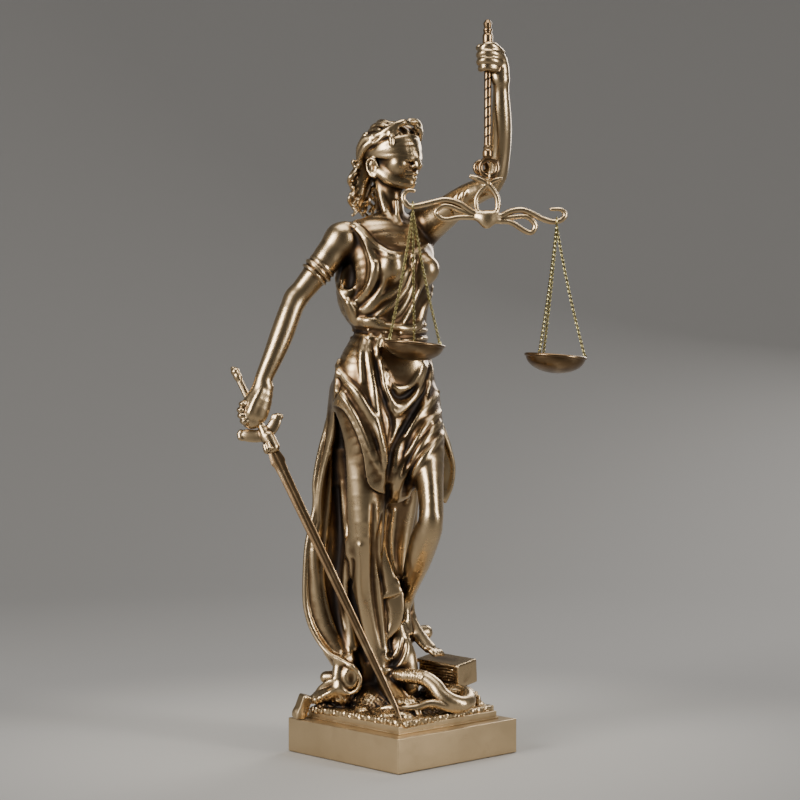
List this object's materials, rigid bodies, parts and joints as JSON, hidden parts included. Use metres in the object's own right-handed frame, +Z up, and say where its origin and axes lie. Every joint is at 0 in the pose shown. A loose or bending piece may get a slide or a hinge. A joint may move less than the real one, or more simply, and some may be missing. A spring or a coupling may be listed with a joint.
{
  "type": "lady_justice_statue",
  "caption": "Bronze-finished statuette of blindfolded Lady Justice on a square plinth, with a lowered sword, raised balance scales, a book and a serpent at her feet",
  "frame": {"origin": "centre of the plinth underside", "axes": "+Z up; the plinth sides run along X and Y; the viewer of the front looks from (-X, -Y)"},
  "size_m": [0.2095, 0.2301, 0.6135],
  "materials": {
    "bronze": "antique bronze, dark in the folds and gold on the ridges",
    "plinth_bronze": "satin bronze paint, lighter worn edges",
    "chain_brass": "dull olive brass"
  },
  "bodies": {
    "root": {"plinth": "plinth_bronze", "figure": "bronze", "sword": "bronze", "balance_rod": "bronze", "balance_beam": "bronze", "left_pan": "bronze", "right_pan": "bronze", "left_chains": "chain_brass", "right_chains": "chain_brass"}
  },
  "joints": []
}
